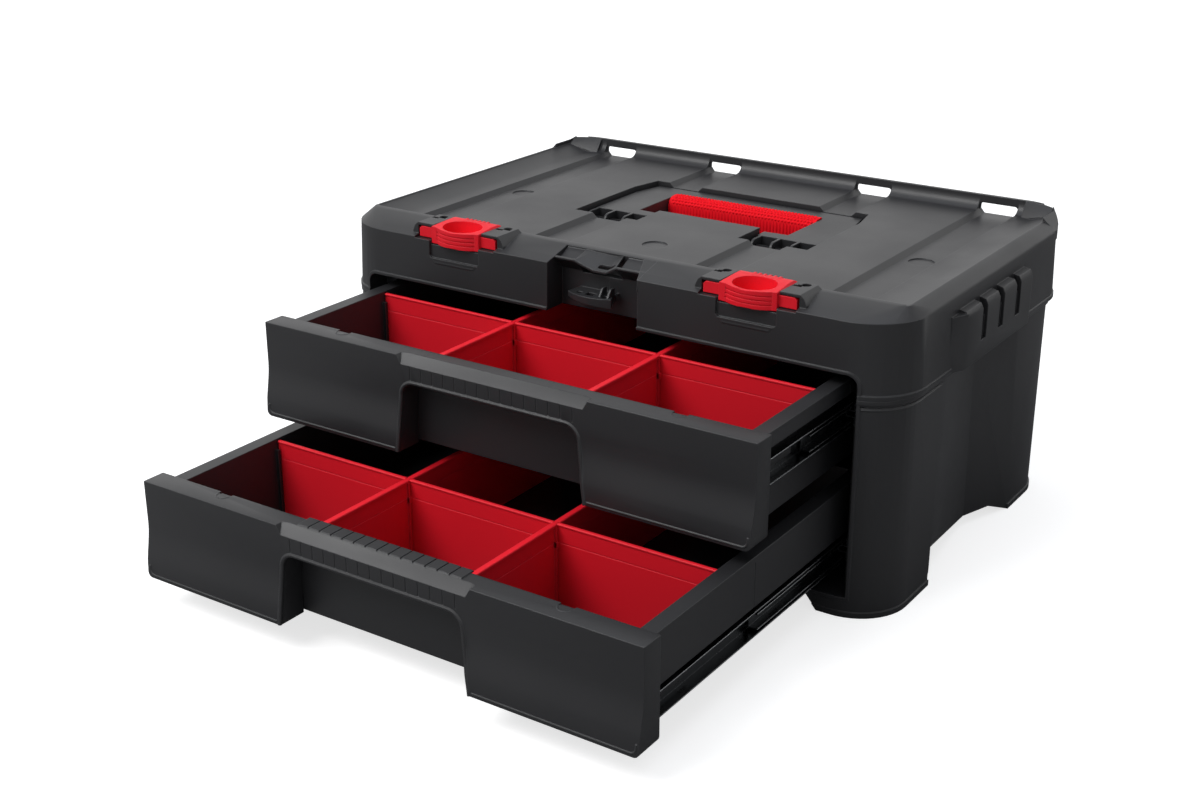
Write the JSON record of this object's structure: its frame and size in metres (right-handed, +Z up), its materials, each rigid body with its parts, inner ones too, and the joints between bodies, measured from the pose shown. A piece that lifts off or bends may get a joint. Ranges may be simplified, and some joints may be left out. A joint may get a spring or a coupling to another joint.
{
  "type": "portable tool box with drawers",
  "caption": "Moulded plastic tool box with two divided drawers on ball-bearing slides, a folding carry handle and two sliding lid latches.",
  "frame": {"origin": "on the left-right centre plane, at floor level between the four soles, 160 mm behind the lower housing's front wall", "axes": "+X to the right of a user who faces the drawers, +Y to the back, +Z up; the drawers pull out towards -Y"},
  "size_m": [0.4888, 0.5665, 0.224],
  "materials": {
    "black_plastic": "fine moulded grain",
    "red_plastic": "smooth satin",
    "zinc_steel": "bright zinc plated"
  },
  "bodies": {
    "housing": {"lower_housing": "black_plastic", "upper_housing": "black_plastic", "housing_screws": "zinc_steel", "upper_left_housing_rail": "zinc_steel", "upper_right_housing_rail": "zinc_steel", "lower_left_housing_rail": "zinc_steel", "lower_right_housing_rail": "zinc_steel", "housing_rail_screws": "zinc_steel", "handle_pins": "zinc_steel"},
    "drawer_upper": {"upper_drawer_tub": "black_plastic", "upper_drawer_front": "black_plastic", "upper_front_screws": "zinc_steel", "upper_long_divider_left": "red_plastic", "upper_long_divider_right": "red_plastic", "upper_short_divider_left": "red_plastic", "upper_short_divider_middle": "red_plastic", "upper_short_divider_right": "red_plastic", "upper_left_drawer_rail": "zinc_steel", "upper_left_release_lever": "black_plastic", "upper_right_drawer_rail": "zinc_steel", "upper_right_release_lever": "black_plastic", "upper_rail_screws": "zinc_steel"},
    "middle_upper_left": {"upper_left_middle_rail": "zinc_steel"},
    "outer_cage_upper_left": {"upper_left_outer_cage": "zinc_steel"},
    "inner_cage_upper_left": {"upper_left_inner_cage": "zinc_steel"},
    "middle_upper_right": {"upper_right_middle_rail": "zinc_steel"},
    "outer_cage_upper_right": {"upper_right_outer_cage": "zinc_steel"},
    "inner_cage_upper_right": {"upper_right_inner_cage": "zinc_steel"},
    "drawer_lower": {"lower_drawer_tub": "black_plastic", "lower_drawer_front": "black_plastic", "lower_front_screws": "zinc_steel", "lower_long_divider_left": "red_plastic", "lower_long_divider_right": "red_plastic", "lower_short_divider_left": "red_plastic", "lower_short_divider_middle": "red_plastic", "lower_short_divider_right": "red_plastic", "lower_left_drawer_rail": "zinc_steel", "lower_left_release_lever": "black_plastic", "lower_right_drawer_rail": "zinc_steel", "lower_right_release_lever": "black_plastic", "lower_rail_screws": "zinc_steel"},
    "middle_lower_left": {"lower_left_middle_rail": "zinc_steel"},
    "outer_cage_lower_left": {"lower_left_outer_cage": "zinc_steel"},
    "inner_cage_lower_left": {"lower_left_inner_cage": "zinc_steel"},
    "middle_lower_right": {"lower_right_middle_rail": "zinc_steel"},
    "outer_cage_lower_right": {"lower_right_outer_cage": "zinc_steel"},
    "inner_cage_lower_right": {"lower_right_inner_cage": "zinc_steel"},
    "handle": {"handle_frame": "black_plastic", "handle_grip": "red_plastic"},
    "latch_left": {"latch_left": "red_plastic"},
    "latch_right": {"latch_right": "red_plastic"}
  },
  "joints": [
    {"name": "upper_drawer_slide", "type": "slide", "parent": "housing", "child": "drawer_upper", "axis": [0, -1, 0], "range_m": [-0.124, 0.138]},
    {"name": "upper_left_middle_slide", "type": "slide", "parent": "housing", "child": "middle_upper_left", "axis": [0, -1, 0], "range_m": [-0.062, 0.069]},
    {"name": "upper_left_outer_cage_slide", "type": "slide", "parent": "housing", "child": "outer_cage_upper_left", "axis": [0, -1, 0], "range_m": [-0.031, 0.0345]},
    {"name": "upper_left_inner_cage_slide", "type": "slide", "parent": "middle_upper_left", "child": "inner_cage_upper_left", "axis": [0, -1, 0], "range_m": [-0.031, 0.0345]},
    {"name": "upper_right_middle_slide", "type": "slide", "parent": "housing", "child": "middle_upper_right", "axis": [0, -1, 0], "range_m": [-0.062, 0.069]},
    {"name": "upper_right_outer_cage_slide", "type": "slide", "parent": "housing", "child": "outer_cage_upper_right", "axis": [0, -1, 0], "range_m": [-0.031, 0.0345]},
    {"name": "upper_right_inner_cage_slide", "type": "slide", "parent": "middle_upper_right", "child": "inner_cage_upper_right", "axis": [0, -1, 0], "range_m": [-0.031, 0.0345]},
    {"name": "lower_drawer_slide", "type": "slide", "parent": "housing", "child": "drawer_lower", "axis": [0, -1, 0], "range_m": [-0.248, 0.014]},
    {"name": "lower_left_middle_slide", "type": "slide", "parent": "housing", "child": "middle_lower_left", "axis": [0, -1, 0], "range_m": [-0.124, 0.007]},
    {"name": "lower_left_outer_cage_slide", "type": "slide", "parent": "housing", "child": "outer_cage_lower_left", "axis": [0, -1, 0], "range_m": [-0.062, 0.0035]},
    {"name": "lower_left_inner_cage_slide", "type": "slide", "parent": "middle_lower_left", "child": "inner_cage_lower_left", "axis": [0, -1, 0], "range_m": [-0.062, 0.0035]},
    {"name": "lower_right_middle_slide", "type": "slide", "parent": "housing", "child": "middle_lower_right", "axis": [0, -1, 0], "range_m": [-0.124, 0.007]},
    {"name": "lower_right_outer_cage_slide", "type": "slide", "parent": "housing", "child": "outer_cage_lower_right", "axis": [0, -1, 0], "range_m": [-0.062, 0.0035]},
    {"name": "lower_right_inner_cage_slide", "type": "slide", "parent": "middle_lower_right", "child": "inner_cage_lower_right", "axis": [0, -1, 0], "range_m": [-0.062, 0.0035]},
    {"name": "handle_fold", "type": "hinge", "parent": "housing", "child": "handle", "pos_m": [0, -0.013, 0.203], "axis": [1, 0, 0], "range_deg": [0, 95]},
    {"name": "latch_left_pull", "type": "slide", "parent": "housing", "child": "latch_left", "axis": [0, -1, 0], "range_m": [0, 0.006], "stiffness_N_per_m": 150},
    {"name": "latch_right_pull", "type": "slide", "parent": "housing", "child": "latch_right", "axis": [0, -1, 0], "range_m": [0, 0.006], "stiffness_N_per_m": 150}
  ],
  "couplings": [
    {"joint": "upper_left_middle_slide", "follows": "upper_drawer_slide", "ratio": 0.5},
    {"joint": "upper_left_outer_cage_slide", "follows": "upper_drawer_slide", "ratio": 0.25},
    {"joint": "upper_left_inner_cage_slide", "follows": "upper_drawer_slide", "ratio": 0.25},
    {"joint": "upper_right_middle_slide", "follows": "upper_drawer_slide", "ratio": 0.5},
    {"joint": "upper_right_outer_cage_slide", "follows": "upper_drawer_slide", "ratio": 0.25},
    {"joint": "upper_right_inner_cage_slide", "follows": "upper_drawer_slide", "ratio": 0.25},
    {"joint": "lower_left_middle_slide", "follows": "lower_drawer_slide", "ratio": 0.5},
    {"joint": "lower_left_outer_cage_slide", "follows": "lower_drawer_slide", "ratio": 0.25},
    {"joint": "lower_left_inner_cage_slide", "follows": "lower_drawer_slide", "ratio": 0.25},
    {"joint": "lower_right_middle_slide", "follows": "lower_drawer_slide", "ratio": 0.5},
    {"joint": "lower_right_outer_cage_slide", "follows": "lower_drawer_slide", "ratio": 0.25},
    {"joint": "lower_right_inner_cage_slide", "follows": "lower_drawer_slide", "ratio": 0.25}
  ]
}
